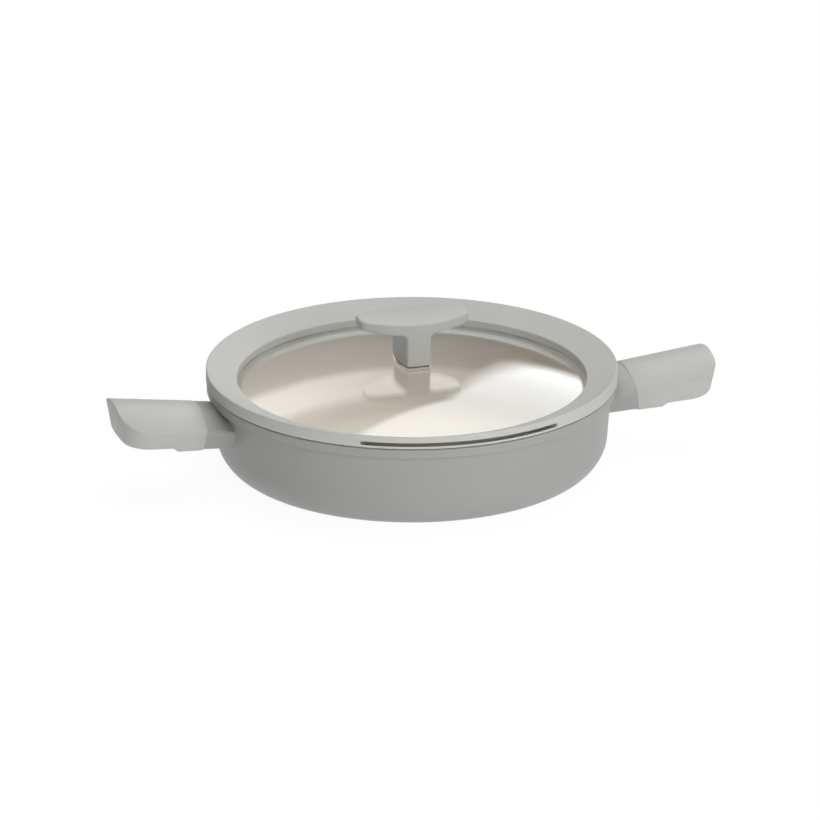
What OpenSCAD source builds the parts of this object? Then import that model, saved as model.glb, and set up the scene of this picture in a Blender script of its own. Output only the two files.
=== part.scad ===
// Saute pan with a domed glass lid. Right grip along +X, strainer slot of the lid towards -Y,
// +Z up. The origin is the centre of the base, on the surface that the pan stands on.

/* [Pan] */
// Diameter over the pan's rim band
rim_d = 289; // [240:1:320]
// Height of the pan, from the hob to its rim
pan_h = 64; // [58:1:80]
// Thickness of the cast wall
wall_t = 3.8; // [3:0.1:4.5]
// Lean of the wall from upright, in degrees
wall_lean = 4.3; // [0:0.1:7]
// Thickness of the cast floor
floor_t = 5.5; // [4.5:0.5:7]
// Radius of the round between the base and the wall
base_round = 26; // [18:1:28]
// Height of the band round the rim
band_h = 6.6; // [5:0.1:9]
// How far the band stands out from the wall
band_step = 4; // [2:0.5:5]
// Diameter of the steel plate let into the base
plate_d = 200; // [140:5:205]

/* [Lid] */
// Height of the upright face of the lid's ring
ring_h = 8.8; // [8:0.2:11]
// Width of the ring's sloping top
ring_w = 21.7; // [20:0.1:26]
// Drop of the sloping top, from its ridge inwards
ring_drop = 7.8; // [6:0.2:8.6]
// Height of the ring's inner wall, above the glass
well_h = 5; // [3:0.5:5.5]
// Rise of the glass dome, inside the ring
dome_rise = 19; // [12:1:24]
// Thickness of the glass
glass_t = 4; // [3:0.5:4]
// Height of the strainer slot
slot_h = 2.7; // [2:0.1:3.2]
// Angle that the strainer slot spans, in degrees
slot_angle = 58; // [20:1:90]

/* [Knob] */
// Length of the knob
knob_l = 78.4; // [60:0.2:95]
// Depth of the knob at its middle
knob_w = 40.4; // [34:0.2:46]
// Depth of the knob at its ends
knob_end_w = 17; // [12:1:26]
// Height of the middle of the knob above the glass
knob_h = 31.6; // [28:0.2:42]
// How far the tips of the wings rise above the middle
wing_lift = 1.8; // [1:0.1:4]
// Thickness of the wings at their tips
wing_t = 6.8; // [5:0.1:8]
// Thickness of the wings beside the stem
root_t = 8; // [8:0.5:12]
// Width of the stem at its middle
stem_w = 24; // [22:1:32]
// Width of the stem at its front face
stem_face_w = 16.5; // [12:0.5:20]
// Radius between the stem and the wings
stem_fillet = 4; // [3:0.5:8]

/* [Grips] */
// Length of each grip
grip_l = 63; // [56:0.2:80]
// Width of each grip near its outer end
grip_w = 69.6; // [62:0.2:80]
// Thickness of each grip at its outer end
grip_t = 26; // [25:0.1:30]
// Crown of the grip's top across its width
crown = 11.5; // [6:0.5:12]
// Length of the thicker collar at the grip's inner end
collar_l = 21.8; // [16:0.2:28]
// How far the collar's outer end stands below the rest of the grip
collar_drop = 2.4; // [1:0.1:3.5]
// Upward tilt of the grips, in degrees
grip_tilt = 7; // [0:0.5:12]
// Diameter of the grip screws
grip_screw_d = 4; // [3:0.5:5]

/* [Fits] */
// Gap under the outer edge of the lid's ring
lid_gap = 1.1; // [0.6:0.1:2]
// Clearance between the lid's skirt and the pan
skirt_gap = 1; // [0.6:0.1:1.6]
// Clearance round the tongues inside the grips
tongue_gap = 0.15; // [0.1:0.05:0.4]
// Clearance round screws, inserts and discs in their holes
bore_gap = 0.05; // [0.03:0.01:0.1]

/* [Hidden] */
$fn = 96;
e = 0.01;
edge_r = 0.8;
edge_steps = 6;

// Pan
rim_r = rim_d / 2;
lean = tan(wall_lean);
band_z = pan_h - band_h;
wall_r = rim_r - band_step;
mouth_r = wall_r - wall_t - 0.2;
cavity_round = base_round - wall_t;
plate_r = plate_d / 2;
plate_t = 1;
dimple_r = 2.5;
dimple_rings = 4;

// Ring of the lid
ring_r = rim_r + 0.5;
ridge_z = pan_h + lid_gap + ring_h;
cone_r = ring_r - ring_w;
cone_z = ridge_z - ring_drop;
slope = ring_drop / ring_w;
shadow_w = 2.6;
skirt_r = mouth_r - skirt_gap;
skirt_t = 2.2;
skirt_h = 8.5;
channel_w = 3.8;
channel_out = skirt_r - skirt_t;
channel_in = channel_out - channel_w;
slot_sill = 1.6;
slot_overlap = 1;
slot_past = 2;
slot_z = pan_h + lid_gap + slot_sill + slot_h / 2;
slot_end_r = 0.44 * slot_h;
channel_z = slot_z + slot_h / 2 - slope * (ring_r - channel_out) + 0.2;

// Glass
glass_edge_r = channel_in - 1.6;
glass_z = cone_z - well_h;
dome_r = (pow(cone_r, 2) + pow(dome_rise, 2)) / (2 * dome_rise);
dome_top = glass_z + dome_rise;
dome_z = dome_top - dome_r;
under_r = dome_r - glass_t;
lip_t = 2.4;
bead_z = dome_z + sqrt(pow(under_r, 2) - pow(glass_edge_r, 2)) - lip_t;
glass_hole_r = 5.2;

// Knob, with its screw and seals
seal_t = 0.6;
seal_inset = 0.8;
knob_top = dome_top + knob_h;
bow_r = (pow(knob_l, 2) + pow(knob_w - knob_end_w, 2)) / (4 * (knob_w - knob_end_w));
barrel_r = (pow(knob_w, 2) + pow(stem_w - stem_face_w, 2)) / (4 * (stem_w - stem_face_w));
saddle_r = (pow(knob_l / 2, 2) + pow(wing_lift, 2)) / (2 * wing_lift);
tip_z = knob_top + wing_lift - wing_t;
root_z = knob_top - root_t;
screw_r = 2.5;
screw_head_r = 5;
screw_head_h = 2.8;
insert_r = 4.5;
insert_h = 14;
insert_z = dome_top + seal_t + 1;
pad_r = 11;
pad_t = 1.6;
pad_z = dome_top - glass_t - pad_t;
washer_t = 1.2;
washer_r = pad_r - 1;

// Lugs and grips, in a frame at the grip's inner end, u outwards along the crest and w up
grip_x = ring_r + 10.4;
grip_z = pan_h - 4.4;
edge_v = grip_w / 2;
widen = 0.06;
inner_v = edge_v - widen * grip_l;
side_inset = 4.2;
end_inset = 6.4;
edge_ball = 2.2;
foot_ball = 5;
end_bow = 300;
corner_r = 18;
corner_v = edge_v - corner_r;
taper = 0.04;
behind_u = -6;
lug_inset = 0.5;
lug_reach = 30;
collar_slant = 4;
collar_ramp = 60;
collar_top_a = 30;
collar_w = foot_w(collar_l) - collar_drop + tan(collar_slant) * collar_l;
inner_foot = [(edge_v - side_inset - foot_ball) * narrowing(0), collar_w + foot_ball];
inner_shoulder = [(edge_v - edge_ball) * narrowing(0), crest_w(inner_v) - edge_ball];
crown_r = (pow(edge_v, 2) + pow(crown, 2)) / (2 * crown);
tongue_w = 40;
tongue_t = 6;
tongue_l = grip_l - 16;
tongue_cover = 4;
tongue_w_top = crest_w(tongue_w / 2) - tongue_cover;
tongue_w_low = tongue_w_top - tongue_t;
screw_us = [15, grip_l - 25];
clamp_t = 2.5;
grip_washer_t = 0.8;
grip_head_h = 2.2;
grip_head_r = grip_screw_d;
clamp_w = tongue_w_low - tongue_gap - clamp_t;

// Shared shapes

// Half section of a bowl from the axis out to a leaning wall, with a true round at the foot
module bowl_section(r_top, z_top, z_low, r_round) {
    r_foot = r_top - lean * (z_top - z_low - r_round) - r_round / cos(wall_lean);
    r_touch = r_foot + r_round * cos(wall_lean);
    z_touch = z_low + r_round - r_round * sin(wall_lean);
    polygon([[0, z_low], [r_foot, z_low], [r_touch, z_touch], [r_top, z_top], [0, z_top]]);
    intersection() {
        translate([r_foot, z_low + r_round]) circle(r = r_round);
        translate([0, z_low]) square([r_foot + r_round, z_touch - z_low]);
    }
}

// Rectangle from (x0, y0) to (x1, y1) with true round corners
module soft_box(x0, y0, x1, y1, r) {
    translate([x0 + r, y0]) square([x1 - x0 - 2 * r, y1 - y0]);
    translate([x0, y0 + r]) square([x1 - x0, y1 - y0 - 2 * r]);
    for (x = [x0 + r, x1 - r], y = [y0 + r, y1 - r]) translate([x, y]) circle(r = r, $fn = 24);
}

// Puts its children in the frame of one grip; side is 1 for the right one and -1 for the left one
module at_grip(side) {
    rotate([0, 0, side > 0 ? 0 : 180])
        translate([grip_x, 0, grip_z])
            rotate([0, -grip_tilt, 0]) children();
}

// Pan

// Round part of the section at the grip's inner end, on one side, between two angles
function round_part(side, centre, r, from, to) = [for (k = [0:edge_steps])
    let (a = from + (to - from) * k / edge_steps, p = centre + r * [cos(a), sin(a)]) [side * p[0], p[1]]];

// Straight run of a section, along the grip's length and slanting down outwards
module slanting_run(from_u, to_u, points) {
    rotate([0, collar_slant, 0]) translate([from_u, 0, 0]) rotate([90, 0, 90])
        linear_extrude(to_u - from_u) polygon(points);
}

// Cast lug outside the wall, with the section of the grip's inner end, a little smaller
module lug() {
    span = inner_shoulder - inner_foot;
    side_a = atan2(span[1], span[0]) - acos((foot_ball - edge_ball) / norm(span));
    shoulder_a = acos(inner_v / crown_r);
    foot_r = foot_ball - lug_inset;
    shoulder_r = edge_ball - lug_inset;
    intersection() {
        translate([-lug_reach, 0, -lug_inset - crown_r])
            rotate([0, 90, 0]) cylinder(r = crown_r, h = lug_reach - e, $fn = 180);
        slanting_run(-lug_reach, collar_l, concat(
            round_part(1, inner_foot, foot_r, -90, side_a),
            round_part(1, inner_shoulder, shoulder_r, side_a, shoulder_a),
            [[0, edge_v]],
            round_part(-1, inner_shoulder, shoulder_r, shoulder_a, side_a),
            round_part(-1, inner_foot, foot_r, side_a, -90)
        ));
    }
}

// Tongue of the lug inside the grip, with the holes that the grip screws bite into
module tongue() {
    difference() {
        translate([-lug_reach, -tongue_w / 2, tongue_w_low])
            cube([lug_reach + tongue_l, tongue_w, tongue_t]);
        for (u = screw_us)
            translate([u, 0, tongue_w_low - e]) cylinder(r = grip_screw_d / 2, h = tongue_t + 2 * e);
    }
}

module pan_body() {
    color("darkseagreen") difference() {
        union() {
            rotate_extrude($fn = 180) bowl_section(wall_r, band_z + 1, 0, base_round);
            rotate_extrude($fn = 180) soft_box(mouth_r - 8, band_z, rim_r, pan_h, edge_r);
            for (side = [-1, 1]) at_grip(side) {
                lug();
                tongue();
            }
        }
        rotate_extrude($fn = 180) bowl_section(mouth_r, pan_h + e, floor_t, cavity_round);
        translate([0, 0, pan_h - edge_r])
            cylinder(r1 = mouth_r - edge_r, r2 = mouth_r + edge_r, h = 2 * edge_r, $fn = 180);
        translate([0, 0, -e]) cylinder(r = plate_r, h = plate_t + e, $fn = 180);
    }
}

// Steel plate flush with the base, with rings of round dimples
module base_plate() {
    color("silver") difference() {
        cylinder(r = plate_r - bore_gap, h = plate_t, $fn = 180);
        for (ring = [1:dimple_rings], k = [0:ring * 8 - 1])
            rotate([0, 0, k * 360 / (ring * 8)])
                translate([ring * plate_r / (dimple_rings + 0.6), 0, -e])
                    cylinder(r = dimple_r, h = plate_t / 2 + e, $fn = 24);
    }
}

// Grips

// Outer end of the grip at a place across its width
function end_u(v) = grip_l - pow(v, 2) / (2 * end_bow);

// Height of the crowned top at a place across the width
function crest_w(v) = -crown * pow(v / edge_v, 2);

// Height of the underside at a place along the grip
function foot_w(u) = taper * (grip_l - u) - grip_t;

// Width at a place along the grip, as a share of the width at its outer end
function narrowing(u) = 1 - widen * (grip_l - u) / edge_v;

// Outline seen from above, drawn in from the sides and the end, from one inner corner to the other
function corner(side, a, in_v, in_u) = [
    end_u(corner_v) - corner_r + (corner_r - in_u) * cos(a),
    side * corner_v + (corner_r - in_v) * sin(a)
];
function outline(in_v, in_u) = concat(
    [[behind_u, in_v - edge_v]],
    [for (a = [-90:18:-18]) corner(-1, a, in_v, in_u)],
    [for (k = [-0.9:0.2:0.9]) [end_u(k * corner_v) - in_u, k * corner_v]],
    [for (a = [18:18:90]) corner(1, a, in_v, in_u)],
    [[behind_u, edge_v - in_v]]
);

// Balls along the soft upper edge, and across the crown at the inner end
module top_balls() {
    for (p = outline(edge_ball, edge_ball)) {
        v = p[1] * narrowing(p[0]);
        translate([p[0], v, crest_w(abs(v) + edge_ball) - edge_ball]) sphere(r = edge_ball, $fn = 16);
    }
    for (k = [-0.75:0.25:0.75])
        translate([behind_u, k * inner_v, crest_w(k * inner_v) - edge_ball])
            sphere(r = edge_ball, $fn = 16);
}

// Balls along the soft lower edge
module foot_balls() {
    for (p = outline(side_inset + foot_ball, end_inset + foot_ball))
        translate([p[0], p[1] * narrowing(p[0]), foot_w(p[0]) + foot_ball])
            sphere(r = foot_ball, $fn = 16);
}

// Thicker collar, with a short ramp at its outer end
module collar() {
    difference() {
        slanting_run(behind_u, collar_l + foot_ball, concat(
            round_part(1, inner_foot, foot_ball, -90, collar_top_a),
            round_part(-1, inner_foot, foot_ball, collar_top_a, -90)
        ));
        translate([collar_l, -grip_w, foot_w(collar_l)]) rotate([0, collar_ramp, 0])
            translate([0, 0, -grip_t]) cube([2 * grip_t, 2 * grip_w, 2 * grip_t]);
    }
}

module grip() {
    difference() {
        union() {
            hull() {
                top_balls();
                foot_balls();
            }
            collar();
        }
        translate([-lug_reach, -grip_w, -2 * grip_t]) cube([lug_reach, 2 * grip_w, 4 * grip_t]);
        translate([-e, -tongue_w / 2 - tongue_gap, tongue_w_low - tongue_gap])
            cube([tongue_l + tongue_gap, tongue_w + 2 * tongue_gap, tongue_t + 2 * tongue_gap]);
        for (u = screw_us) translate([u, 0, -2 * grip_t]) {
            cylinder(r = grip_screw_d / 2 + 0.3, h = 2 * grip_t + tongue_w_top - 1);
            cylinder(r = grip_head_r + 1.2, h = 2 * grip_t + clamp_w);
        }
    }
}

module grip_left() {
    color("gainsboro") at_grip(-1) grip();
}

module grip_right() {
    color("gainsboro") at_grip(1) grip();
}

module grip_screws() {
    color("silver") for (side = [-1, 1], u = screw_us)
        at_grip(side) translate([u, 0, clamp_w - grip_washer_t]) difference() {
            union() {
                cylinder(r = grip_screw_d / 2 - bore_gap, h = grip_washer_t + clamp_t + tongue_t);
                translate([0, 0, -grip_head_h]) cylinder(r = grip_head_r, h = grip_head_h);
            }
            translate([0, 0, -grip_head_h - e]) cylinder(r = grip_screw_d / 3.2, h = 1.4, $fn = 6);
        }
}

module grip_washers() {
    color("silver") for (side = [-1, 1], u = screw_us)
        at_grip(side) translate([u, 0, clamp_w - grip_washer_t]) difference() {
            cylinder(r = grip_head_r + 0.9, h = grip_washer_t);
            translate([0, 0, -e]) cylinder(r = grip_screw_d / 2 + bore_gap, h = grip_washer_t + 2 * e);
        }
}

// Lid

// Solid ball whose top is the given radius above the centre of the dome
module dome(r) {
    translate([0, 0, dome_z]) sphere(r = r, $fn = 360);
}

// Curved sheet between two radii, out to the given distance from the axis
module dome_sheet(r_out, r_in, reach) {
    difference() {
        intersection() {
            dome(r_out);
            translate([0, 0, bead_z - 1]) cylinder(r = reach, h = 2 * pan_h, $fn = 180);
        }
        dome(r_in);
    }
}

module lid_glass() {
    color("lightcyan", 0.5) difference() {
        dome_sheet(dome_r, under_r, glass_edge_r);
        translate([0, 0, bead_z]) cylinder(r = glass_hole_r, h = 2 * pan_h);
    }
}

// Section of the lid's ring: ridge, sloping top, well, lip under the glass, channel and skirt
module ring_section() {
    tilt = atan(slope);
    function cone_at(r) = ridge_z - slope * (ring_r - r);
    function round_at(r) = [r, cone_at(r) - edge_r * sqrt(1 + pow(slope, 2))];
    function rounded(r, from, to) = [for (k = [0:edge_steps])
        let (a = from + (to - from) * k / edge_steps) round_at(r) + edge_r * [cos(a), sin(a)]];
    skirt_in = lean * skirt_h;
    polygon(concat(
        [[ring_r, pan_h + lid_gap]],
        rounded(ring_r - edge_r, 0, 90 + tilt),
        rounded(cone_r + edge_r, 90 + tilt, 180),
        [
            [cone_r, bead_z], [channel_in, bead_z], [channel_in, channel_z],
            [channel_out, channel_z], [channel_out - skirt_in, pan_h - skirt_h],
            [skirt_r - skirt_in, pan_h - skirt_h], [skirt_r, pan_h],
            [ring_r - shadow_w, pan_h], [ring_r - shadow_w, pan_h + lid_gap]
        ]
    ));
}

// Half of the slot that slopes down inwards with the ring's top, from its face into the channel
module half_slot() {
    from_r = (channel_in + channel_out) / 2;
    to_r = ring_r + slot_past;
    function slot_mid(r) = slot_z - slope * (ring_r - r);
    rotate([0, 0, -90 - slot_angle / 2]) {
        rotate_extrude(angle = slot_angle / 2 + slot_overlap, $fn = 180) polygon([
            [from_r, slot_mid(from_r) - slot_h / 2], [to_r, slot_mid(to_r) - slot_h / 2],
            [to_r, slot_mid(to_r) + slot_h / 2], [from_r, slot_mid(from_r) + slot_h / 2]
        ]);
        translate([from_r, 0, slot_mid(from_r)]) rotate([0, 90 - atan(slope), 0])
            cylinder(r = slot_end_r, h = to_r - from_r, $fn = 32);
    }
}

module lid_ring() {
    color("darkseagreen") difference() {
        rotate_extrude($fn = 180) ring_section();
        dome_sheet(dome_r, under_r, glass_edge_r);
        half_slot();
        mirror([1, 0, 0]) half_slot();
    }
}

// Knob

// Plan of the knob: bowed front and back, short straight ends
module knob_plan() {
    intersection() {
        translate([0, knob_w / 2 - bow_r]) circle(r = bow_r, $fn = 180);
        translate([0, bow_r - knob_w / 2]) circle(r = bow_r, $fn = 180);
        square([knob_l, 2 * knob_w], center = true);
    }
}

// Plan of the stem: straight front and back faces and bulging sides
module stem_plan(inset) {
    intersection() {
        translate([stem_w / 2 - barrel_r, 0]) circle(r = barrel_r - inset, $fn = 180);
        translate([barrel_r - stem_w / 2, 0]) circle(r = barrel_r - inset, $fn = 180);
        square([stem_w, knob_w - 2 * inset], center = true);
    }
}

// Space for the fingers beside the stem, turned about the centre of the stem's bulging side
module finger_scoop() {
    tip_r = barrel_r + (knob_l - stem_w) / 2;
    rise = (tip_z - root_z) / (tip_r - barrel_r - stem_fillet);
    translate([stem_w / 2 - barrel_r, 0, 0]) intersection() {
        rotate_extrude($fn = 180) difference() {
            polygon([
                [barrel_r, dome_z], [tip_r + knob_w, dome_z],
                [tip_r + knob_w, tip_z + rise * knob_w],
                [barrel_r + stem_fillet, root_z], [barrel_r, root_z]
            ]);
            difference() {
                translate([barrel_r - 1, root_z - stem_fillet]) square(stem_fillet + 1);
                translate([barrel_r + stem_fillet, root_z - stem_fillet])
                    circle(r = stem_fillet, $fn = 48);
            }
        }
        translate([barrel_r - stem_w / 2, -knob_w, 0]) cube([knob_l, 2 * knob_w, 2 * knob_top]);
    }
}

module knob_body() {
    color("gainsboro") difference() {
        linear_extrude(knob_top + 2 * wing_lift) knob_plan();
        translate([0, knob_w, knob_top + saddle_r])
            rotate([90, 0, 0]) cylinder(r = saddle_r, h = 2 * knob_w, $fn = 720);
        finger_scoop();
        mirror([1, 0, 0]) finger_scoop();
        dome(dome_r + seal_t);
        translate([0, 0, insert_z]) cylinder(r = insert_r, h = insert_h + 0.5);
        cylinder(r = screw_r + 0.5, h = insert_z + 1);
    }
}

module knob_insert() {
    color("goldenrod") translate([0, 0, insert_z]) difference() {
        cylinder(r = insert_r - bore_gap, h = insert_h);
        translate([0, 0, -e]) cylinder(r = screw_r + bore_gap, h = insert_h + 2 * e);
    }
}

module knob_screw() {
    head_z = pad_z - washer_t;
    color("silver") difference() {
        union() {
            translate([0, 0, head_z]) cylinder(r = screw_r, h = insert_z + insert_h - 1 - head_z);
            translate([0, 0, head_z - screw_head_h]) cylinder(r = screw_head_r, h = screw_head_h);
        }
        translate([0, 0, head_z - screw_head_h - e]) cylinder(r = screw_r / 1.6, h = 1.6, $fn = 6);
    }
}

module knob_washer() {
    color("silver") translate([0, 0, pad_z - washer_t]) difference() {
        cylinder(r = washer_r, h = washer_t);
        translate([0, 0, -e]) cylinder(r = screw_r + bore_gap, h = washer_t + 2 * e);
    }
}

// Thin seal between the knob's foot and the glass
module knob_seal_upper() {
    color("dimgray") difference() {
        intersection() {
            dome_sheet(dome_r + seal_t, dome_r, knob_l);
            linear_extrude(2 * dome_top) stem_plan(seal_inset);
        }
        cylinder(r = glass_hole_r, h = 2 * dome_top);
    }
}

// Pad under the glass, with a collar that lines the hole in the glass
module knob_seal_lower() {
    hole_r = screw_r + bore_gap;
    color("dimgray") rotate_extrude() {
        intersection() {
            translate([hole_r, pad_z]) square([pad_r - hole_r, pad_t + 1]);
            translate([0, dome_z]) circle(r = under_r, $fn = 3600);
        }
        translate([hole_r, pad_z])
            square([glass_hole_r - bore_gap - hole_r, pad_t + glass_t - 0.2]);
    }
}

pan_body();
base_plate();
grip_left();
grip_right();
grip_screws();
grip_washers();
lid_glass();
lid_ring();
knob_body();
knob_insert();
knob_screw();
knob_washer();
knob_seal_upper();
knob_seal_lower();
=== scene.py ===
import math

import bmesh
import bpy
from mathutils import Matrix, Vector


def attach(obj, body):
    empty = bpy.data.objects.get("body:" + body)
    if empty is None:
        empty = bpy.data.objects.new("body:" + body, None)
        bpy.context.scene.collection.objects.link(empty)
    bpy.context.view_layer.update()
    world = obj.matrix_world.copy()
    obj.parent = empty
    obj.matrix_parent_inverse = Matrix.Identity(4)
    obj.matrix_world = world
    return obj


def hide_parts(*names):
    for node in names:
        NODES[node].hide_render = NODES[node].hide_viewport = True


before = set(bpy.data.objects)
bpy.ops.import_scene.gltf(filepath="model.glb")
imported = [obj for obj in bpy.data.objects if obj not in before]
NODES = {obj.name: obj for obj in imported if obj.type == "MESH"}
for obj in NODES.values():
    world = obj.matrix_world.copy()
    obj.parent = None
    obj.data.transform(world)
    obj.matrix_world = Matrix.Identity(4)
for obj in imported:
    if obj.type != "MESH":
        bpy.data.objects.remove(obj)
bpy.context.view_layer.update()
MM = 0.001

# The camera, in metres: the pan is turned a little to it and seen from above the rim
VIEW_TURN = math.radians(15.05)
VIEW_TILT = math.radians(20.2)
VIEW_DISTANCE = 11.2736
LENS_MM = 702.4
SENSOR_MM = 36
NEAREST = 0.1
FARTHEST = 60
AIM_HEIGHT = 40.81 * MM
AIM_SHIFT = 1.282 * MM

# The studio, in metres: a white world, a white floor and lamps that face one point
WHITE = (1, 1, 1, 1)
WORLD_FILL = 0.02
FLOOR_SIZE = 12
FLOOR_DROP = 0.2 * MM
FLOOR_COLOUR = (0.8, 0.8, 0.79, 1)
FLOOR_BOUNCE = 0.28
FLOOR_GLOW = 0.93
FLOOR_SHADE = (0.12, 0.12, 0.12, 1)
LAMPS_AIM = 0.05

# The card behind the pan, in metres: its size and place
CARD_WIDTH = 36
CARD_TALL = 34
CARD_BACK = 12
CARD_LEFT = 5.4
CARD_UP = 14
CARD_GLOW = 2.9
# Its white part is above a foot and to the right of an edge that leans, most of all above its bend
CARD_WHITE = (0.96, 0.99, 1, 1)
CARD_EDGE = 4.6
CARD_BEND = 10.3
CARD_LEAN = 0.15
CARD_SLANT = 0.54
CARD_FADE = 0.4
CARD_FADE_GAIN = 0.08
CARD_FOOT = 3.0
CARD_FOOT_FADE = 1.2
# Its grey part has bands, each at a share of a top height, and darkens to the right
CARD_BANDS_TOP = 16
CARD_BANDS = (
    (0.05, (0.145, 0.14, 0.136, 1)),
    (0.28, (0.2, 0.194, 0.188, 1)),
    (0.34, (0.25, 0.243, 0.235, 1)),
    (0.4, (0.58, 0.565, 0.55, 1)),
    (0.55, (0.66, 0.64, 0.62, 1)),
    (0.64, (0.3, 0.29, 0.28, 1)),
    (0.72, (0.15, 0.146, 0.142, 1)),
)
CARD_MIDDLE_TONE = 1.5
CARD_TONE_FALL = 0.22
CARD_DARKEST = 0.4
CARD_LIGHTEST = 1.6

# The grips: lengths in millimetres, in a frame at the joint, u outwards, v across and w up
JOINT_X = 155.4
JOINT_Z = 59.6
GRIP_TILT = 7
GRIP_LENGTH = 63
GRIP_WIDTH = 69.6
GRIP_INNER_SHARE = 0.8914
GRIP_THICK = 26
GRIP_CROWN = 11.5
GRIP_CORNER = 18
GRIP_SIDE_INSET = 4.2
GRIP_END_INSET = 6.4
GRIP_TAPER = 0.04
GRIP_RIM = 1.4
GRIP_UNDER_RIM = 3.7
GRIP_END_BOW = 180
GRIP_BOW_RUN = 20
GRIP_ROW = 2.8
GRIP_ROWS = 11
COLLAR_LENGTH = 21.8
COLLAR_DROP = 2.4
COLLAR_SLOPE = 0.07
COLLAR_RAMP = 1.7
SCREWS_U = (15, 38)
POCKET_RADIUS = 5.2
POCKET_TOP = -16.45
POCKET_DEPTH = 20
# Heights w where the underside's and the crown's moves start and where they are whole
UNDER_FROM, UNDER_WHOLE = -8, -20
CROWN_FROM, CROWN_WHOLE = -20, -2

# The knob, in millimetres: a bowed bar with lifted tips on a stem with bulging sides
KNOB_LENGTH = 78.4
KNOB_DEPTH = 40.4
KNOB_END = 17
KNOB_TOP = 111.7
KNOB_CORNER = 2.8
WING_LIFT = 1.8
WING_TIP = 6.8
WING_ROOT = 8
STEM_WIDTH = 24
STEM_FACE = 16.5
STEM_FILLET = 4
STEM_CUT_TO = 84
STEM_FOOT_BELOW = 90
# The top of the domed glass, which is part of a ball, and the seal that the stem stands on
GLASS_TOP_R = 409.6
GLASS_CENTRE_Z = -329.5
KNOB_SEAL = 0.6
# Where the bar is cut into rows: the first row is drawn in to half the width of the stem's core
CORE_ROW = 8.6
CORE_HALF = 4.4
BRIDGE_ROW = 17
KNOB_ROWS = (CORE_ROW, STEM_WIDTH / 2, BRIDGE_ROW, 21, 25, 29, 32.5)
CROSS_ROW = 4
CROSS_ROWS = 4
CROSS_FRONT = 17

# Modelling, in millimetres: how far from its place a vertex may be and still be picked,
# how close two vertices are when they become one, and how short an edge is when it goes
ROOM = 0.1
WELD = 0.04
SLIVER = 0.01
# How much of a level face's normal points up or down, at least, and of a side's, at most
FLAT = 0.8
STEEP = 0.2
# Faces that meet at less than this are shaded as one
SMOOTH_ANGLE = math.radians(32)

# Inside of the pan, in millimetres: the pale cooking surface covers the wall, the round and the base
MOUTH_RADIUS = 137.2
WALL_LEAN = 0.0752
PAN_HEIGHT = 64
ROUND_RADIUS = 111.5
ROUND_HEIGHT = 27.7
ROUND_REACH = 24.1


def linear(red, green, blue):
    """A colour as seen on a screen, 0 to 255, as the shader's own values."""
    def one(v):
        v = v / 255
        return v / 12.92 if v <= 0.04045 else ((v + 0.055) / 1.055) ** 2.4
    return (one(red), one(green), one(blue), 1.0)


OUTSIDE = linear(163, 164, 161)
OUTSIDE_WORN = linear(180, 180, 173)
COOKING = linear(225, 215, 203)
RUBBER = linear(202, 202, 197)
RUBBER_WORN = linear(208, 208, 201)
HANDLE = linear(189, 189, 185)
HANDLE_WORN = linear(202, 202, 196)
SEAL = linear(96, 96, 94)
SEAL_WORN = linear(120, 120, 118)
STEEL = linear(196, 196, 194)
BRASS = linear(196, 158, 84)
GLASS_TINT = (0.97, 0.98, 0.97, 1)
LIGHT_FROM_ABOVE = (0.98, 0.98, 0.98, 1)
LIGHT_FROM_LOW = (0.12, 0.12, 0.12, 1)
PAN_LIGHT = (0.9, 0.88, 0.84, 1)


# Nodes: short ways to add and join them

def node(tree, kind, **settings):
    made = tree.nodes.new(kind)
    for key, value in settings.items():
        setattr(made, key, value)
    return made


def shader_of(tree, kind, **values):
    """A shader whose inputs hold plain values."""
    made = tree.nodes.new(kind)
    for label, value in values.items():
        made.inputs[label].default_value = value
    return made.outputs[0]


def maths(tree, operation, a, b=None, clamp=False):
    made = node(tree, "ShaderNodeMath", operation=operation, use_clamp=clamp)
    for socket, value in zip(made.inputs, (a, b)):
        if value is None:
            continue
        if isinstance(value, (int, float)):
            socket.default_value = value
        else:
            tree.links.new(value, socket)
    return made.outputs[0]


def plus(tree, a, b, clamp=False):
    return maths(tree, "ADD", a, b, clamp)


def minus(tree, a, b, clamp=False):
    return maths(tree, "SUBTRACT", a, b, clamp)


def times(tree, a, b, clamp=False):
    return maths(tree, "MULTIPLY", a, b, clamp)


def hypotenuse(tree, a, b):
    return maths(tree, "SQRT", plus(tree, times(tree, a, a), times(tree, b, b)))


def swing(tree, wave):
    """A noise as a change below and above 0."""
    return minus(tree, wave, 0.5)


def place(tree):
    return node(tree, "ShaderNodeTexCoord").outputs["Object"]


def place_parts(tree):
    """The x, y and z of the place, in metres."""
    parts = node(tree, "ShaderNodeSeparateXYZ")
    tree.links.new(place(tree), parts.inputs[0])
    return parts.outputs


def noise(tree, where, scale, detail, roughness=0.5):
    made = node(tree, "ShaderNodeTexNoise")
    tree.links.new(where, made.inputs["Vector"])
    made.inputs["Detail"].default_value = detail
    made.inputs["Roughness"].default_value = roughness
    if isinstance(scale, (int, float)):
        made.inputs["Scale"].default_value = scale
    else:
        tree.links.new(scale, made.inputs["Scale"])
    return made.outputs["Fac"]


def tinted(tree, colour, factor):
    """A colour made lighter or darker by a factor that changes over the surface."""
    mix = node(tree, "ShaderNodeVectorMath", operation="SCALE")
    if isinstance(colour, tuple):
        mix.inputs[0].default_value = colour[:3]
    else:
        tree.links.new(colour, mix.inputs[0])
    tree.links.new(factor, mix.inputs["Scale"])
    return mix.outputs[0]


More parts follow.
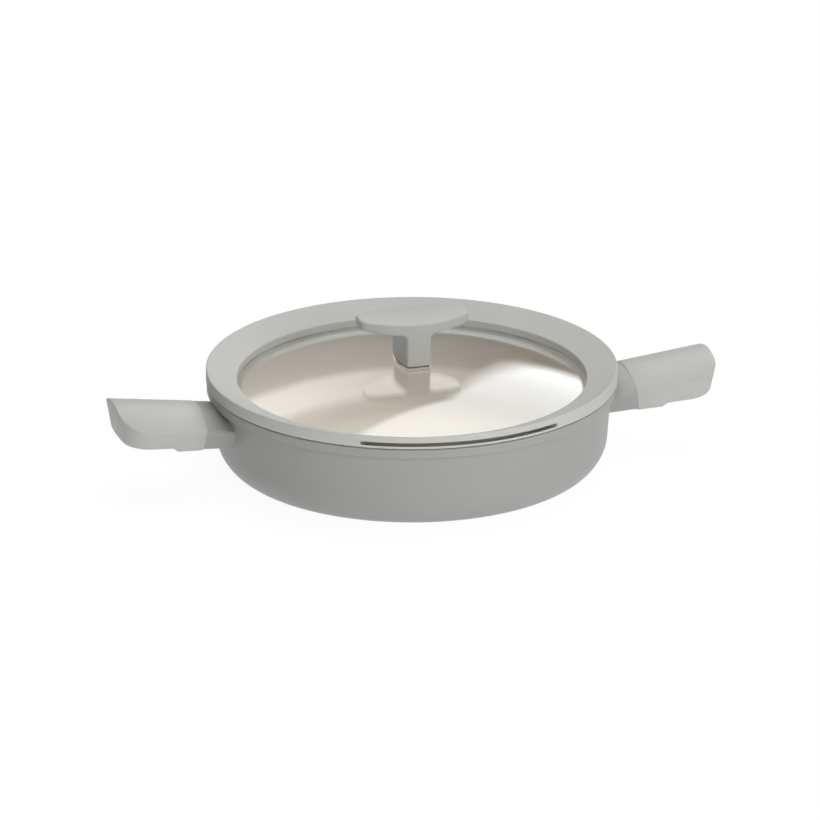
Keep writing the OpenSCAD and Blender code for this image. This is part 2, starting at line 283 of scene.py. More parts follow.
def blended(tree, mask, first, second):
    """The first colour where the mask is 0 and the second where it is 1."""
    mix = node(tree, "ShaderNodeMix", data_type="RGBA")
    tree.links.new(mask, mix.inputs["Factor"])
    for socket, value in ((mix.inputs["A"], first), (mix.inputs["B"], second)):
        if isinstance(value, tuple):
            socket.default_value = value
        else:
            tree.links.new(value, socket)
    return mix.outputs["Result"]


def either(tree, mask, first, second):
    """The first shader where the mask is 0 and the second where it is 1."""
    mix = node(tree, "ShaderNodeMixShader")
    for socket, value in zip(mix.inputs, (mask, first, second)):
        tree.links.new(value, socket)
    return mix.outputs[0]


def both(tree, first, second):
    total = node(tree, "ShaderNodeAddShader")
    for socket, value in zip(total.inputs, (first, second)):
        tree.links.new(value, socket)
    return total.outputs[0]


def seen_directly(tree):
    """1 for rays from the camera, from gloss and through glass, and 0 for the rest."""
    path = node(tree, "ShaderNodeLightPath").outputs
    first = maths(tree, "MAXIMUM", path["Is Camera Ray"], path["Is Glossy Ray"])
    return maths(tree, "MAXIMUM", first, path["Is Transmission Ray"])


# Camera, world, floor, lamps and card

def deselect():
    bpy.ops.object.select_all(action="DESELECT")


def set_camera():
    right = Vector((math.cos(VIEW_TURN), -math.sin(VIEW_TURN), 0))
    ahead = Vector((
        math.sin(VIEW_TURN) * math.cos(VIEW_TILT),
        math.cos(VIEW_TURN) * math.cos(VIEW_TILT),
        -math.sin(VIEW_TILT),
    ))
    data = bpy.data.cameras.new("studio_camera")
    data.lens = LENS_MM
    data.sensor_width = SENSOR_MM
    data.clip_start = NEAREST
    data.clip_end = FARTHEST
    camera = bpy.data.objects.new("studio_camera", data)
    bpy.context.scene.collection.objects.link(camera)
    camera.location = Vector((0, 0, AIM_HEIGHT)) - AIM_SHIFT * right - VIEW_DISTANCE * ahead
    camera.rotation_mode = "QUATERNION"
    camera.rotation_quaternion = ahead.to_track_quat("-Z", "Y")
    bpy.context.scene.camera = camera


def set_world():
    """White where it is seen, and a weak fill light for everything else."""
    world = bpy.data.worlds.new("studio_white")
    world.use_nodes = True
    tree = world.node_tree
    tree.nodes.clear()
    fill = shader_of(tree, "ShaderNodeBackground", Color=WHITE, Strength=WORLD_FILL)
    white = shader_of(tree, "ShaderNodeBackground", Color=WHITE, Strength=1)
    out = node(tree, "ShaderNodeOutputWorld")
    tree.links.new(either(tree, seen_directly(tree), fill, white), out.inputs["Surface"])
    bpy.context.scene.world = world


def studio_paint(name):
    """A material with an empty tree, for what isn't part of the object."""
    paint = bpy.data.materials.new(name)
    paint.use_nodes = True
    paint.node_tree.nodes.clear()
    return paint, paint.node_tree


def lay_floor():
    """A floor that glows white where it is seen, with a faint shadow, and lights the pan from below."""
    deselect()
    bpy.ops.mesh.primitive_plane_add(size=FLOOR_SIZE, location=(0, 0, -FLOOR_DROP))
    floor = bpy.context.object
    floor.name = "studio_floor"
    paint, tree = studio_paint("white_floor")
    matt = shader_of(tree, "ShaderNodeBsdfDiffuse", Color=FLOOR_COLOUR)
    bounce = shader_of(tree, "ShaderNodeEmission", Strength=FLOOR_BOUNCE)
    shade = shader_of(tree, "ShaderNodeBsdfDiffuse", Color=FLOOR_SHADE)
    glow = shader_of(tree, "ShaderNodeEmission", Strength=FLOOR_GLOW)
    floor_look = either(tree, seen_directly(tree), both(tree, matt, bounce), both(tree, glow, shade))
    out = node(tree, "ShaderNodeOutputMaterial")
    tree.links.new(floor_look, out.inputs["Surface"])
    floor.data.materials.append(paint)


def softbox(name, turn, height, distance, size, power, in_gloss=True):
    """A square lamp that faces the pan, from an angle round it and a height, both in degrees."""
    data = bpy.data.lights.new(name, "AREA")
    data.shape = "SQUARE"
    data.size = size
    data.energy = power
    lamp = bpy.data.objects.new(name, data)
    bpy.context.scene.collection.objects.link(lamp)
    a, h = math.radians(turn), math.radians(height)
    towards = Vector((math.cos(h) * math.cos(a), math.cos(h) * math.sin(a), math.sin(h)))
    lamp.location = Vector((0, 0, LAMPS_AIM)) + distance * towards
    lamp.rotation_mode = "QUATERNION"
    lamp.rotation_quaternion = towards.to_track_quat("Z", "Y")
    lamp.visible_camera = False
    lamp.visible_transmission = False
    lamp.visible_glossy = in_gloss


def card_is_white(tree, x, z):
    """1 to the right of the card's edge and above its foot, fading to 0 over the rest."""
    above = minus(tree, z, CARD_BEND)
    lean = times(tree, above, CARD_LEAN)
    slant = times(tree, maths(tree, "MAXIMUM", above, 0), CARD_SLANT)
    past = plus(tree, plus(tree, minus(tree, x, CARD_EDGE), lean), slant)
    fade = plus(tree, times(tree, maths(tree, "ABSOLUTE", above), CARD_FADE_GAIN), CARD_FADE)
    beside = plus(tree, maths(tree, "DIVIDE", past, fade), 1, clamp=True)
    over = maths(tree, "DIVIDE", minus(tree, z, CARD_FOOT), CARD_FOOT_FADE, clamp=True)
    return times(tree, beside, over)


def card_grey(tree, x, z):
    bands = node(tree, "ShaderNodeValToRGB")
    tones = bands.color_ramp.elements
    tones[0].position, tones[0].color = CARD_BANDS[0]
    tones[1].position, tones[1].color = CARD_BANDS[-1]
    for height, tone in CARD_BANDS[1:-1]:
        tones.new(height).color = tone
    tree.links.new(maths(tree, "DIVIDE", z, CARD_BANDS_TOP), bands.inputs["Fac"])
    tone = minus(tree, CARD_MIDDLE_TONE, times(tree, x, CARD_TONE_FALL))
    tone = maths(tree, "MAXIMUM", maths(tree, "MINIMUM", tone, CARD_LIGHTEST), CARD_DARKEST)
    return tinted(tree, bands.outputs["Color"], tone)


def hang_card():
    """A glowing card that only gloss and glass see: it gives the lid its bands and its white area."""
    deselect()
    bpy.ops.mesh.primitive_plane_add(size=1)
    card = bpy.context.object
    card.name = "grey_card"
    bpy.ops.object.mode_set(mode="EDIT")
    bpy.ops.transform.rotate(value=math.pi / 2, orient_axis="X", center_override=(0, 0, 0))
    bpy.ops.transform.resize(value=(CARD_WIDTH, 1, CARD_TALL), center_override=(0, 0, 0))
    bpy.ops.transform.translate(value=(-CARD_LEFT, CARD_BACK, CARD_UP))
    bpy.ops.object.mode_set(mode="OBJECT")
    paint, tree = studio_paint("grey_card")
    x, _, z = place_parts(tree)
    glow = node(tree, "ShaderNodeEmission")
    glow.inputs["Strength"].default_value = CARD_GLOW
    colour = blended(tree, card_is_white(tree, x, z), card_grey(tree, x, z), CARD_WHITE)
    tree.links.new(colour, glow.inputs["Color"])
    out = node(tree, "ShaderNodeOutputMaterial")
    tree.links.new(glow.outputs[0], out.inputs["Surface"])
    card.data.materials.append(paint)
    card.visible_camera = False
    card.visible_diffuse = False
    card.visible_shadow = False


# What the materials share

def new_group(name, ins, outs):
    group = bpy.data.node_groups.new(name, "ShaderNodeTree")
    for label, kind, value in ins:
        socket = group.interface.new_socket(name=label, in_out="INPUT", socket_type=kind)
        socket.default_value = value
    for label, kind in outs:
        group.interface.new_socket(name=label, in_out="OUTPUT", socket_type=kind)
    return group, group.nodes.new("NodeGroupInput"), group.nodes.new("NodeGroupOutput")


def make_surface_grain():
    """Fine moulded or sprayed grain, with slow cloudy changes of tone."""
    speck_depth = 0.06
    group, given, out = new_group(
        "surface_grain",
        (("Grain Scale", "NodeSocketFloat", 2200), ("Cloud Scale", "NodeSocketFloat", 14),
         ("Tone Change", "NodeSocketFloat", 0.05), ("Gloss Change", "NodeSocketFloat", 0.08),
         ("Roughness", "NodeSocketFloat", 0.5)),
        (("Tone", "NodeSocketFloat"), ("Roughness", "NodeSocketFloat"), ("Height", "NodeSocketFloat")),
    )
    asked = given.outputs
    where = place(group)
    fine = noise(group, where, asked["Grain Scale"], detail=3, roughness=0.6)
    cloud = swing(group, noise(group, where, asked["Cloud Scale"], detail=4))
    tone = plus(group, times(group, cloud, asked["Tone Change"]), 1)
    gloss = plus(group, times(group, cloud, asked["Gloss Change"]), asked["Roughness"])
    speck = times(group, swing(group, fine), speck_depth)
    group.links.new(plus(group, tone, speck), out.inputs["Tone"])
    group.links.new(plus(group, gloss, speck, clamp=True), out.inputs["Roughness"])
    group.links.new(fine, out.inputs["Height"])
    return group


def make_edge_rub():
    """Where corners are rubbed by hands and cloths: 1 on a worn edge."""
    bend_gain = 6
    patch_gain = 1.4
    group, given, out = new_group(
        "edge_rub",
        (("Radius", "NodeSocketFloat", 0.001), ("Amount", "NodeSocketFloat", 1)),
        (("Mask", "NodeSocketFloat"),),
    )
    bevel = node(group, "ShaderNodeBevel", samples=4)
    group.links.new(given.outputs["Radius"], bevel.inputs["Radius"])
    plain = node(group, "ShaderNodeNewGeometry")
    turn = node(group, "ShaderNodeVectorMath", operation="DOT_PRODUCT")
    group.links.new(bevel.outputs["Normal"], turn.inputs[0])
    group.links.new(plain.outputs["Normal"], turn.inputs[1])
    bent = times(group, minus(group, 1, turn.outputs["Value"]), bend_gain, clamp=True)
    patch = times(group, noise(group, place(group), scale=120, detail=3), patch_gain, clamp=True)
    rub = times(group, times(group, bent, patch), given.outputs["Amount"], clamp=True)
    group.links.new(rub, out.inputs["Mask"])
    return group


def make_hand_marks():
    """Faint smudges from hands and cloths, as a change of gloss."""
    smear_turn = (0.3, 0.2, 0.7)
    smear_stretch = (1, 2.6, 1.4)
    marks_from, marks_full = 0.45, 0.7
    group, given, out = new_group(
        "hand_marks",
        (("Scale", "NodeSocketFloat", 30), ("Amount", "NodeSocketFloat", 0.1)),
        (("Gloss", "NodeSocketFloat"),),
    )
    smear = node(group, "ShaderNodeMapping")
    group.links.new(place(group), smear.inputs["Vector"])
    smear.inputs["Rotation"].default_value = smear_turn
    smear.inputs["Scale"].default_value = smear_stretch
    marks = noise(group, smear.outputs["Vector"], given.outputs["Scale"], detail=5, roughness=0.65)
    ramp = node(group, "ShaderNodeValToRGB")
    ramp.color_ramp.elements[0].position = marks_from
    ramp.color_ramp.elements[1].position = marks_full
    group.links.new(marks, ramp.inputs["Fac"])
    group.links.new(times(group, ramp.outputs["Color"], given.outputs["Amount"]), out.inputs["Gloss"])
    return group


def use_group(tree, group, **values):
    made = node(tree, "ShaderNodeGroup", node_tree=group)
    for label, value in values.items():
        made.inputs[label.replace("_", " ")].default_value = value
    return made.outputs


def new_material(name):
    paint = bpy.data.materials.new(name)
    paint.use_nodes = True
    tree = paint.node_tree
    shader = tree.nodes["Principled BSDF"]
    return paint, tree, shader


def give_bump(tree, shader, height, strength, depth):
    """Bump of a depth in metres, from a height between 0 and 1."""
    bump = node(tree, "ShaderNodeBump")
    bump.inputs["Strength"].default_value = strength
    bump.inputs["Distance"].default_value = depth
    tree.links.new(height, bump.inputs["Height"])
    tree.links.new(bump.outputs["Normal"], shader.inputs["Normal"])


# Materials

def matt_plastic(name, colour, worn, roughness, grain_scale, depth, sheen):
    """Soft matt plastic or rubber with fine grain, hand marks and edges that rub paler."""
    paint, tree, shader = new_material(name)
    grain = use_group(tree, GRAIN, Grain_Scale=grain_scale, Cloud_Scale=18, Tone_Change=0.05,
                      Gloss_Change=0.1, Roughness=roughness)
    rub = use_group(tree, EDGE_RUB, Radius=1.2 * MM, Amount=0.5)
    marks = use_group(tree, HAND_MARKS, Scale=42, Amount=0.08)
    base = blended(tree, rub["Mask"], colour, worn)
    tree.links.new(tinted(tree, base, grain["Tone"]), shader.inputs["Base Color"])
    gloss = minus(tree, grain["Roughness"], marks["Gloss"], clamp=True)
    tree.links.new(gloss, shader.inputs["Roughness"])
    shader.inputs["Specular IOR Level"].default_value = sheen
    give_bump(tree, shader, grain["Height"], strength=0.35, depth=depth)
    return paint


def light_underside(paint, strength):
    """Makes faces that look down glow where gloss mirrors them, as if the bright pan lit them."""
    tree = paint.node_tree
    shader = tree.nodes["Principled BSDF"]
    facing = node(tree, "ShaderNodeSeparateXYZ")
    tree.links.new(node(tree, "ShaderNodeNewGeometry").outputs["Normal"], facing.inputs[0])
    down = maths(tree, "MAXIMUM", times(tree, facing.outputs["Z"], -strength), 0)
    mirrored = node(tree, "ShaderNodeLightPath").outputs["Is Glossy Ray"]
    shader.inputs["Emission Color"].default_value = PAN_LIGHT
    tree.links.new(times(tree, down, mirrored), shader.inputs["Emission Strength"])


def pan_inside(tree):
    """1 on the cooking surface: within the leaning wall, and within the round above the base."""
    x, y, z = place_parts(tree)
    far = hypotenuse(tree, x, y)
    wall = plus(tree, times(tree, minus(tree, z, PAN_HEIGHT * MM), WALL_LEAN), MOUTH_RADIUS * MM)
    within_wall = maths(tree, "LESS_THAN", far, wall)
    under = maths(tree, "MAXIMUM", minus(tree, ROUND_HEIGHT * MM, z), 0)
    over = maths(tree, "MAXIMUM", minus(tree, far, ROUND_RADIUS * MM), 0)
    over = times(tree, over, maths(tree, "GREATER_THAN", under, 0))
    within_round = maths(tree, "LESS_THAN", hypotenuse(tree, over, under), ROUND_REACH * MM)
    return times(tree, within_wall, within_round)


def make_pan_coating():
    """Sprayed coat outside and a paler, smoother cooking surface inside."""
    smoother_inside = 0.14
    paint, tree, shader = new_material("pan_coating")
    inside = pan_inside(tree)
    grain = use_group(tree, GRAIN, Grain_Scale=1500, Cloud_Scale=11, Tone_Change=0.05,
                      Gloss_Change=0.08, Roughness=0.46)
    rub = use_group(tree, EDGE_RUB, Radius=1 * MM, Amount=0.45)
    outside = blended(tree, rub["Mask"], OUTSIDE, OUTSIDE_WORN)
    base = blended(tree, inside, outside, COOKING)
    tree.links.new(tinted(tree, base, grain["Tone"]), shader.inputs["Base Color"])
    smoother = times(tree, inside, smoother_inside)
    gloss = minus(tree, grain["Roughness"], smoother, clamp=True)
    tree.links.new(gloss, shader.inputs["Roughness"])
    give_bump(tree, shader, grain["Height"], strength=0.3, depth=0.05 * MM)
    return paint


def make_steel(name, roughness, line_scale):
    """Bare steel, with fine turning lines round the middle where it was spun."""
    line_tone = 0.15
    paint, tree, shader = new_material(name)
    grain = use_group(tree, GRAIN, Grain_Scale=2600, Cloud_Scale=25, Tone_Change=0.08,
                      Gloss_Change=0.12, Roughness=roughness)
    x, y, _ = place_parts(tree)
    ring = node(tree, "ShaderNodeCombineXYZ")
    tree.links.new(hypotenuse(tree, x, y), ring.inputs[0])
    lines = noise(tree, ring.outputs[0], line_scale, detail=4, roughness=0.7)
    tone = plus(tree, times(tree, swing(tree, lines), line_tone), grain["Tone"])
    tree.links.new(tinted(tree, STEEL, tone), shader.inputs["Base Color"])
    tree.links.new(grain["Roughness"], shader.inputs["Roughness"])
    shader.inputs["Metallic"].default_value = 1
    give_bump(tree, shader, lines, strength=0.25, depth=0.04 * MM)
    return paint


def make_brass():
    paint, tree, shader = new_material("brass")
    grain = use_group(tree, GRAIN, Grain_Scale=3000, Cloud_Scale=60, Tone_Change=0.12,
                      Gloss_Change=0.1, Roughness=0.35)
    tree.links.new(tinted(tree, BRASS, grain["Tone"]), shader.inputs["Base Color"])
    tree.links.new(grain["Roughness"], shader.inputs["Roughness"])
    shader.inputs["Metallic"].default_value = 1
    give_bump(tree, shader, grain["Height"], strength=0.2, depth=0.03 * MM)
    return paint


def make_glass():
    """Clear toughened glass, faintly hazy and wavy, that lets the lamps light the pan below it."""
    haze_depth = 0.03
    low_from = 0.35
    low_gain = 4
    paint, tree, shader = new_material("glass")
    shader.inputs["Base Color"].default_value = GLASS_TINT
    shader.inputs["Transmission Weight"].default_value = 1
    shader.inputs["IOR"].default_value = 1.5
    where = place(tree)
    haze = times(tree, noise(tree, where, scale=40, detail=4, roughness=0.6), haze_depth)
    tree.links.new(haze, shader.inputs["Roughness"])
    wave = noise(tree, where, scale=22, detail=2, roughness=0.4)
    give_bump(tree, shader, wave, strength=0.05, depth=0.4 * MM)
    # Light that comes in low is mostly turned away by the glass
    slope = node(tree, "ShaderNodeLayerWeight")
    slope.inputs["Blend"].default_value = 0.5
    low = times(tree, minus(tree, slope.outputs["Facing"], low_from), low_gain, clamp=True)
    clear = node(tree, "ShaderNodeBsdfTransparent")
    tree.links.new(blended(tree, low, LIGHT_FROM_ABOVE, LIGHT_FROM_LOW), clear.inputs["Color"])
    from_lamp = node(tree, "ShaderNodeLightPath").outputs["Is Shadow Ray"]
    out = tree.nodes["Material Output"]
    tree.links.new(either(tree, from_lamp, shader.outputs[0], clear.outputs[0]), out.inputs["Surface"])
    return paint


# Pieces that take the place of plain solids

def mesh_of(piece):
    return bmesh.from_edit_mesh(piece.data)


def pick(piece, kind, wanted):
    """Selects the vertices, edges or faces for which wanted is true, and nothing else."""
    bpy.ops.mesh.select_all(action="DESELECT")
    bpy.context.tool_settings.mesh_select_mode = (kind == "verts", kind == "edges", kind == "faces")
    mesh = mesh_of(piece)
    mesh.normal_update()
    for part in getattr(mesh, kind):
        if wanted(part):
            part.select_set(True)
    mesh.select_flush_mode()
    bmesh.update_edit_mesh(piece.data)


def near(a, b):
    return abs(a - b) < ROOM * MM


def looks_down(face):
    return face.normal.z < -FLAT


def upright(edge):
    first, second = edge.verts
    return near(first.co.x, second.co.x) and near(first.co.y, second.co.y)


def share_of(value, start, whole):
    """0 up to the start, 1 from the whole on, and even in between."""
    return min(1, max(0, (value - start) / (whole - start)))


def cut_rows(axis, places):
    """Cuts the whole mesh that is being edited at each place along an axis, in millimetres."""
    along = Vector((axis == "x", axis == "y", axis == "z"))
    for cut in places:
        bpy.ops.mesh.select_all(action="SELECT")
        bpy.ops.mesh.bisect(plane_co=along * cut * MM, plane_no=along)


def move_each(piece, wanted, shift):
    """Moves each wanted vertex by its own shift, those with one shift together."""
    steps = {}
    for vert in mesh_of(piece).verts:
        if wanted(vert.co):
            step = tuple(round(v, 7) for v in shift(vert.co))
            if any(step):
                steps.setdefault(step, []).append(vert.index)
    for step, numbers in steps.items():
        held = set(numbers)
        pick(piece, "verts", lambda v: v.index in held)
        bpy.ops.transform.translate(value=step)


def add_box(name, low, high):
    """A box between two corners, in millimetres, left open for editing."""
    deselect()
    bpy.ops.mesh.primitive_cube_add(size=1)
    box = bpy.context.object
    box.name = name
    box.data.name = name
    low, high = Vector(low) * MM, Vector(high) * MM
    bpy.ops.object.mode_set(mode="EDIT")
    bpy.ops.transform.resize(value=high - low, center_override=(0, 0, 0))
    bpy.ops.transform.translate(value=(low + high) / 2)
    return box


def take_up(piece):
    """Makes a piece the only one selected, and the active one."""
    deselect()
    piece.select_set(True)
    bpy.context.view_layer.objects.active = piece


def apply_all(piece):
    take_up(piece)
    for modifier in list(piece.modifiers):
        bpy.ops.object.modifier_apply(modifier=modifier.name)


def soften_edges(piece, width, angle, steps):
    rounding = piece.modifiers.new("soft_edges", "BEVEL")
    rounding.width = width * MM
    rounding.segments = steps
    rounding.limit_method = "ANGLE"
    rounding.angle_limit = math.radians(angle)
    rounding.miter_outer = "MITER_ARC"
    apply_all(piece)


def drill_pocket(piece, u):
    """Cuts a screw pocket up into the underside of a grip, centred at u."""
    deselect()
    middle = (u * MM, 0, (POCKET_TOP - POCKET_DEPTH / 2) * MM)
    bpy.ops.mesh.primitive_cylinder_add(vertices=48, radius=POCKET_RADIUS * MM,
                                        depth=POCKET_DEPTH * MM, location=middle)
    drill = bpy.context.object
    pocket = piece.modifiers.new("screw_pocket", "BOOLEAN")
    pocket.operation = "DIFFERENCE"
    pocket.solver = "EXACT"
    pocket.object = drill
    apply_all(piece)
    bpy.data.objects.remove(drill)


def join_slivers(piece):
    """Joins the vertices that cutting left closer together than anything can show."""
    take_up(piece)
    bpy.ops.object.mode_set(mode="EDIT")
    bpy.ops.mesh.select_all(action="SELECT")
    bpy.ops.mesh.remove_doubles(threshold=WELD * MM)
    bpy.ops.mesh.dissolve_degenerate(threshold=SLIVER * MM)
    bpy.ops.object.mode_set(mode="OBJECT")


def finish_piece(piece, body, replaced, paint):
    take_up(piece)
    bpy.ops.object.transform_apply(location=True, rotation=True, scale=True)
    bpy.ops.object.shade_smooth_by_angle(angle=SMOOTH_ANGLE)
    piece.data.materials.clear()
    piece.data.materials.append(paint)
    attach(piece, body)
    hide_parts(replaced)


def shape_grip(co):
    """How far a vertex of the straight grip moves: taper, collar, crown and bowed end."""
    u, v, w = co.x / MM, co.y / MM, co.z / MM
    rise = GRIP_TAPER * (GRIP_LENGTH - u)
    if u < COLLAR_LENGTH - ROOM:
        rise -= COLLAR_DROP - (COLLAR_SLOPE - GRIP_TAPER) * (COLLAR_LENGTH - u)
    crown = -GRIP_CROWN * (v / (GRIP_WIDTH / 2)) ** 2
    bow_in = v ** 2 / (2 * GRIP_END_BOW)
    up = rise * share_of(w, UNDER_FROM, UNDER_WHOLE) + crown * share_of(w, CROWN_FROM, CROWN_WHOLE)
    back = bow_in * share_of(u, COLLAR_LENGTH, COLLAR_LENGTH + GRIP_BOW_RUN)
    return (-back * MM, 0, up * MM)


def make_grips(paint):
    """A wide paddle grip with a crowned top and a collar under its inner end, once for each side."""
    half = GRIP_WIDTH / 2
    grip = add_box("soft_grip", (0, -half, -GRIP_THICK), (GRIP_LENGTH, half, 0))
    # Round corners in plan at the outer end, and an underside smaller than the top
    pick(grip, "edges", lambda e: upright(e) and e.verts[0].co.x > GRIP_LENGTH / 2 * MM)
    bpy.ops.mesh.bevel(offset=GRIP_CORNER * MM, segments=10, affect="EDGES")
    pick(grip, "faces", looks_down)
    bpy.ops.transform.resize(
        value=((GRIP_LENGTH - GRIP_END_INSET) / GRIP_LENGTH, (half - GRIP_SIDE_INSET) / half, 1),
        center_override=(0, 0, -GRIP_THICK * MM))
    # Soft edges round the top and the underside, all but the flat end at the joint
    for level, offset, steps in ((0, GRIP_RIM, 4), (-GRIP_THICK, GRIP_UNDER_RIM, 6)):
        pick(grip, "edges", lambda e: all(near(v.co.z, level * MM) for v in e.verts)
             and not all(near(v.co.x, 0) for v in e.verts))
        bpy.ops.mesh.bevel(offset=offset * MM, segments=steps, affect="EDGES")
    cut_rows("x", (COLLAR_LENGTH - COLLAR_RAMP * COLLAR_DROP, COLLAR_LENGTH))
    cut_rows("y", [k * GRIP_ROW for k in range(-GRIP_ROWS, GRIP_ROWS + 1)])
    # It widens outwards, row by row
    rows = sorted({round(v.co.x, 5) for v in mesh_of(grip).verts})
    for row in rows:
        share = 1 - (1 - GRIP_INNER_SHARE) * (1 - row / (GRIP_LENGTH * MM))
        pick(grip, "verts", lambda v: round(v.co.x, 5) == row)
        bpy.ops.transform.resize(value=(1, share, 1), center_override=(0, 0, 0))
    move_each(grip, lambda co: True, shape_grip)
    bpy.ops.object.mode_set(mode="OBJECT")
    soften_edges(grip, width=0.35, angle=40, steps=2)
    for u in SCREWS_U:
        drill_pocket(grip, u)
    join_slivers(grip)
    grip.rotation_euler = (0, -math.radians(GRIP_TILT), 0)
    grip.location = (JOINT_X * MM, 0, JOINT_Z * MM)
    bpy.ops.object.transform_apply(location=True, rotation=True, scale=True)
    other = grip.copy()
    other.data = grip.data.copy()
    bpy.context.scene.collection.objects.link(other)
    grip.name = "soft_grip_right"
    other.name = "soft_grip_left"
    other.rotation_euler = (0, 0, math.pi)
    finish_piece(grip, "pan", "grip_right", paint)
    finish_piece(other, "pan", "grip_left", paint)


def arc_height(end_depth, middle_depth, half_length, at):
    """Height of an arc with given heights at its ends and its middle, at a distance from there."""
    sag = middle_depth - end_depth
    radius = (half_length ** 2 + sag ** 2) / (2 * sag)
    return middle_depth - radius + math.sqrt(radius ** 2 - at ** 2)


def bow(x):
    """Half depth of the knob's plan at a distance from its middle."""
    return arc_height(KNOB_END / 2, KNOB_DEPTH / 2, KNOB_LENGTH / 2, x)


def barrel(y):
    """Half width of the stem at a distance from its middle."""
    return arc_height(STEM_FACE / 2, STEM_WIDTH / 2, KNOB_DEPTH / 2, y)


def to_barrel(co):
    """Moves the row beside the stem to its bulging side, and that row's ends to the bowed faces."""
    if abs(co.y) < CROSS_FRONT * MM:
        wide, across = barrel(co.y / MM), co.y
    else:
        wide = STEM_FACE / 2
        across = math.copysign(bow(wide), co.y) * MM
    return (math.copysign(wide, co.x) * MM - co.x, across - co.y, 0)


def to_core(co):
    return (math.copysign(CORE_HALF, co.x) * MM - co.x, 0, 0)


def to_glass(co):
    """Moves the stem's foot down to the seal on the domed glass."""
    far = (co.x / MM) ** 2 + (co.y / MM) ** 2
    height = GLASS_CENTRE_Z + math.sqrt((GLASS_TOP_R + KNOB_SEAL) ** 2 - far)
    return (0, 0, height * MM - co.z)


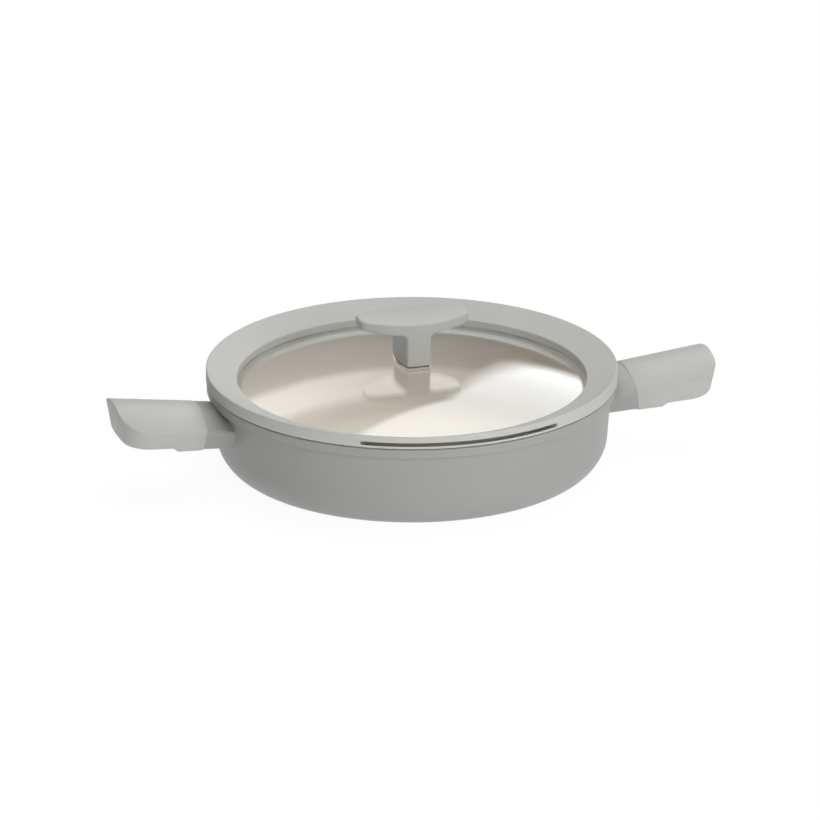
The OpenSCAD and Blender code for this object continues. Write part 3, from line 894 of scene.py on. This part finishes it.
def make_knob(paint):
    """A bar bowed at front and back, with wings that thin to lifted tips, on a bulging stem."""
    end, deep = KNOB_LENGTH / 2, KNOB_DEPTH / 2
    under = KNOB_TOP - WING_ROOT
    knob = add_box("knob", (-end, -deep, under), (end, deep, KNOB_TOP))
    # It is cut into rows, and each row is as deep as the bowed plan is there
    cut_rows("x", [0] + [side * x for x in KNOB_ROWS for side in (-1, 1)])
    for x in (0,) + KNOB_ROWS + (end,):
        pick(knob, "verts", lambda v: near(abs(v.co.x), x * MM))
        bpy.ops.transform.resize(value=(1, bow(x) / deep, 1), center_override=(0, 0, 0))
    pick(knob, "edges", lambda e: upright(e) and near(abs(e.verts[0].co.x), end * MM))
    bpy.ops.mesh.bevel(offset=KNOB_CORNER * MM, segments=5, affect="EDGES")
    # The underside between the wings is cut across, so that the stem can bulge
    for k in range(-CROSS_ROWS, CROSS_ROWS + 1):
        pick(knob, "faces", lambda f: looks_down(f)
             and abs(f.calc_center_median().x) < BRIDGE_ROW * MM)
        bpy.ops.mesh.bisect(plane_co=(0, k * CROSS_ROW * MM, 0), plane_no=(0, 1, 0))
    low = (under + ROOM) * MM
    move_each(knob, lambda co: co.z < low and near(abs(co.x), STEM_WIDTH / 2 * MM), to_barrel)
    move_each(knob, lambda co: co.z < low and near(abs(co.x), CORE_ROW * MM), to_core)
    # Wings: an underside that thins towards them, and lifted tips above
    tip = KNOB_TOP + WING_LIFT - WING_TIP
    root = STEM_WIDTH / 2 + STEM_FILLET

    def wing_under(co):
        return (0, 0, share_of(abs(co.x) / MM, root, end) * (tip - under) * MM)
    move_each(knob, lambda co: co.z < low, wing_under)
    saddle = (end ** 2 + WING_LIFT ** 2) / (2 * WING_LIFT)

    def wing_over(co):
        return (0, 0, (saddle - math.sqrt(saddle ** 2 - (co.x / MM) ** 2)) * MM)
    move_each(knob, lambda co: co.z > (KNOB_TOP - ROOM) * MM, wing_over)
    # The stem is drawn down from the underside to the glass
    beside = (STEM_WIDTH / 2 + ROOM) * MM
    pick(knob, "faces", lambda f: looks_down(f) and max(abs(v.co.x) for v in f.verts) < beside)
    bpy.ops.mesh.extrude_region_move(
        TRANSFORM_OT_translate={"value": (0, 0, (STEM_CUT_TO - under) * MM)})
    move_each(knob, lambda co: co.z < STEM_FOOT_BELOW * MM, to_glass)

    def under_wing(edge):
        """True where a side of the stem meets the underside of a wing."""
        slopes = [abs(f.normal.z) for f in edge.link_faces]
        return (all(near(v.co.z, under * MM) and (STEM_FACE / 2 - ROOM) * MM < abs(v.co.x) < beside
                    for v in edge.verts)
                and len(slopes) == 2 and min(slopes) < STEEP and max(slopes) > FLAT)
    pick(knob, "edges", under_wing)
    bpy.ops.mesh.bevel(offset=STEM_FILLET * MM, segments=6, affect="EDGES", clamp_overlap=False)
    bpy.ops.object.mode_set(mode="OBJECT")
    soften_edges(knob, width=1.3, angle=35, steps=4)
    finish_piece(knob, "lid", "knob_body", paint)


def paint_node(name, paint):
    NODES[name].data.materials.clear()
    NODES[name].data.materials.append(paint)


GRAIN = make_surface_grain()
EDGE_RUB = make_edge_rub()
HAND_MARKS = make_hand_marks()

set_camera()
set_world()
lay_floor()
hang_card()
softbox("top_box", turn=60, height=80, distance=2.0, size=1.6, power=17.8, in_gloss=False)
softbox("front_left_box", turn=-110, height=25, distance=2.2, size=1.2, power=10.2)
softbox("front_right_box", turn=-70, height=20, distance=2.2, size=1.2, power=15.8)
softbox("back_right_box", turn=60, height=35, distance=2.2, size=1.2, power=8, in_gloss=False)
softbox("right_box", turn=-25, height=40, distance=2.2, size=1.2, power=5.2)

coating = make_pan_coating()
rubber = matt_plastic("silicone_ring", RUBBER, RUBBER_WORN, roughness=0.6, grain_scale=1800,
                      depth=0.04 * MM, sheen=0.22)
handle = matt_plastic("soft_handle", HANDLE, HANDLE_WORN, roughness=0.52, grain_scale=1600,
                      depth=0.04 * MM, sheen=0.5)
knob_plastic = matt_plastic("knob_plastic", HANDLE, HANDLE_WORN, roughness=0.52, grain_scale=1600,
                            depth=0.04 * MM, sheen=0.5)
light_underside(knob_plastic, strength=2)
seal = matt_plastic("seal_rubber", SEAL, SEAL_WORN, roughness=0.65, grain_scale=2200,
                    depth=0.03 * MM, sheen=0.4)
spun = make_steel("spun_steel", roughness=0.3, line_scale=900)
bolt = make_steel("bolt_steel", roughness=0.26, line_scale=2600)
brass = make_brass()
glass = make_glass()

paint_node("pan_body", coating)
paint_node("lid_ring", rubber)
paint_node("lid_glass", glass)
paint_node("base_plate", spun)
for name in ("grip_screws", "grip_washers", "knob_screw", "knob_washer"):
    paint_node(name, bolt)
paint_node("knob_insert", brass)
for name in ("knob_seal_upper", "knob_seal_lower"):
    paint_node(name, seal)

make_grips(handle)
make_knob(knob_plastic)

bpy.context.scene.view_settings.view_transform = "Standard"
